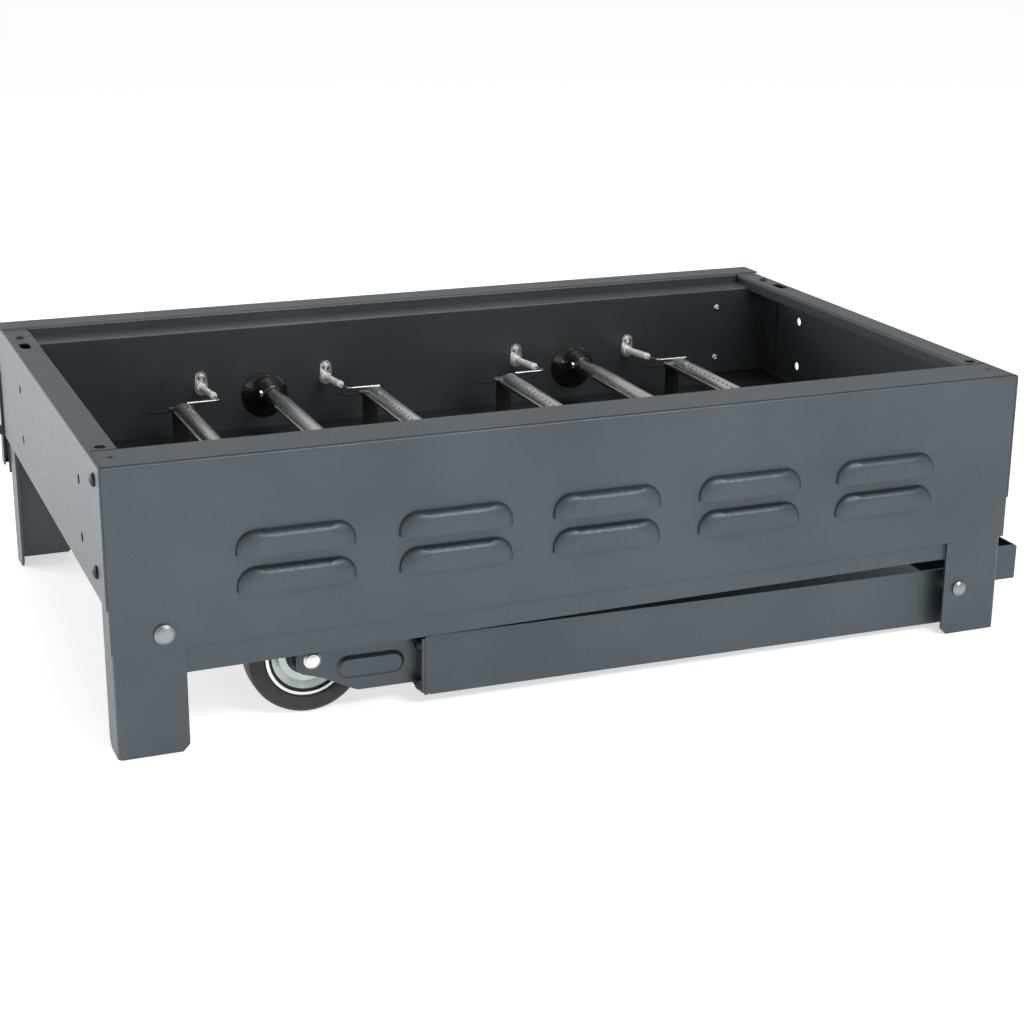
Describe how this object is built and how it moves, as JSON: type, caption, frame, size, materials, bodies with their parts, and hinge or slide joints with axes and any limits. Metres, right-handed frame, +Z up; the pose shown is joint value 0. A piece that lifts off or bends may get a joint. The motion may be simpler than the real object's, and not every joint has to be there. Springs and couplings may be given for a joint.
{
  "type": "folding gas barbecue base",
  "caption": "Open sheet-steel gas barbecue base with tube burners, louvred rear and two leg frames that fold underneath, one pair on castors.",
  "frame": {"origin": "centre of the underside of the whole object's box, on the floor, legs folded", "axes": "+X towards the end whose leg frame carries the castors, -Y towards the louvred rear panel, +Y towards the operator's fascia, +Z up"},
  "size_m": [0.8966, 0.5818, 0.2498],
  "materials": {
    "frame_paint": "dark grey metallic textured powder coat",
    "stainless_steel": "drawn stainless tube, heat tinted",
    "zinc_plate": "bright zinc plate",
    "black_screws": "black oxide",
    "tyre_rubber": "black solid rubber",
    "black_plastic": "satin black moulded plastic",
    "enamel_black": "gloss black enamel",
    "chrome_trim": "polished",
    "brass_fittings": "machined",
    "gas_pipe": "satin steel tube",
    "ceramic": "white glazed ceramic",
    "lead_rubber": "silicone sleeve"
  },
  "bodies": {
    "firebox": {"base_pan": "frame_paint", "bell_clamp_screws": "zinc_plate", "burner_bells": "enamel_black", "burner_end_supports": "frame_paint", "burner_wall": "frame_paint", "control_fascia": "frame_paint", "electrode_ceramics": "ceramic", "electrode_tabs": "stainless_steel", "front_left_foot": "frame_paint", "front_right_foot": "frame_paint", "front_sill": "frame_paint", "gas_inlet": "brass_fittings", "gas_manifold": "gas_pipe", "gas_valves": "brass_fittings", "header_saddles": "stainless_steel", "ignition_leads": "lead_rubber", "ignition_switch": "black_plastic", "injectors": "brass_fittings", "knob_bezels": "chrome_trim", "left_burner_header": "stainless_steel", "left_burner_mixing_tube": "stainless_steel", "left_burner_port_tubes": "stainless_steel", "left_side_panel": "frame_paint", "leg_hinge_bolts": "zinc_plate", "panel_screws": "black_screws", "rear_left_foot": "frame_paint", "rear_panel": "frame_paint", "rear_right_foot": "frame_paint", "right_burner_header": "stainless_steel", "right_burner_mixing_tube": "stainless_steel", "right_burner_port_tubes": "stainless_steel", "right_hinge_spacers": "zinc_plate", "right_side_panel": "frame_paint", "spark_electrodes": "stainless_steel", "spark_generator": "black_plastic", "wall_screws": "zinc_plate"},
    "left_leg": {"left_leg_rear_rail": "frame_paint", "left_leg_front_rail": "frame_paint", "left_leg_cross_tube": "frame_paint", "left_leg_end_plugs": "black_plastic"},
    "right_leg": {"right_leg_rear_rail": "frame_paint", "right_leg_front_rail": "frame_paint", "right_leg_end_plates": "frame_paint", "right_leg_necks": "frame_paint", "right_leg_stop_channel": "frame_paint", "right_leg_axle_brace": "frame_paint", "castor_forks": "frame_paint", "castor_axle_sleeves": "zinc_plate", "castor_axle_bolts": "zinc_plate", "castor_bolts": "black_screws"},
    "rear_wheel": {"rear_tyre": "tyre_rubber", "rear_wheel_rim": "zinc_plate"},
    "front_wheel": {"front_tyre": "tyre_rubber", "front_wheel_rim": "zinc_plate"},
    "left_knob": {"left_knob": "black_plastic"},
    "right_knob": {"right_knob": "black_plastic"},
    "ignition_button": {"ignition_button": "black_plastic"},
    "left_air_shutter": {"left_air_shutter": "stainless_steel"},
    "right_air_shutter": {"right_air_shutter": "stainless_steel"}
  },
  "joints": [
    {"name": "left_leg_hinge", "type": "hinge", "parent": "firebox", "child": "left_leg", "pos_m": [-0.39783, -0.01486, 0.105], "axis": [0, 1, 0], "range_deg": [0, 90.6]},
    {"name": "right_leg_hinge", "type": "hinge", "parent": "firebox", "child": "right_leg", "pos_m": [0.35517, -0.01486, 0.045], "axis": [0, -1, 0], "range_deg": [0, 90.5]},
    {"name": "rear_wheel_spin", "type": "hinge", "parent": "right_leg", "child": "rear_wheel", "pos_m": [-0.26779, -0.22866, 0.05254], "axis": [0, 1, 0], "continuous": true},
    {"name": "front_wheel_spin", "type": "hinge", "parent": "right_leg", "child": "front_wheel", "pos_m": [-0.26779, 0.19894, 0.05254], "axis": [0, 1, 0], "continuous": true},
    {"name": "left_knob_turn", "type": "hinge", "parent": "firebox", "child": "left_knob", "pos_m": [-0.18583, 0.2624, 0.15], "axis": [0, 0.9861, 0.166], "range_deg": [0, 180]},
    {"name": "right_knob_turn", "type": "hinge", "parent": "firebox", "child": "right_knob", "pos_m": [0.16017, 0.2624, 0.15], "axis": [0, 0.9861, 0.166], "range_deg": [0, 180]},
    {"name": "ignition_button_push", "type": "slide", "parent": "firebox", "child": "ignition_button", "axis": [0, -0.9861, -0.166], "range_m": [0, 0.004], "stiffness_N_per_m": 600, "springref_m": -0.003},
    {"name": "left_air_shutter_turn", "type": "hinge", "parent": "firebox", "child": "left_air_shutter", "pos_m": [-0.18583, 0.19214, 0.1745], "axis": [0, 1, 0], "range_deg": [-60, 60]},
    {"name": "right_air_shutter_turn", "type": "hinge", "parent": "firebox", "child": "right_air_shutter", "pos_m": [0.16017, 0.19214, 0.1745], "axis": [0, 1, 0], "range_deg": [-60, 60]}
  ]
}
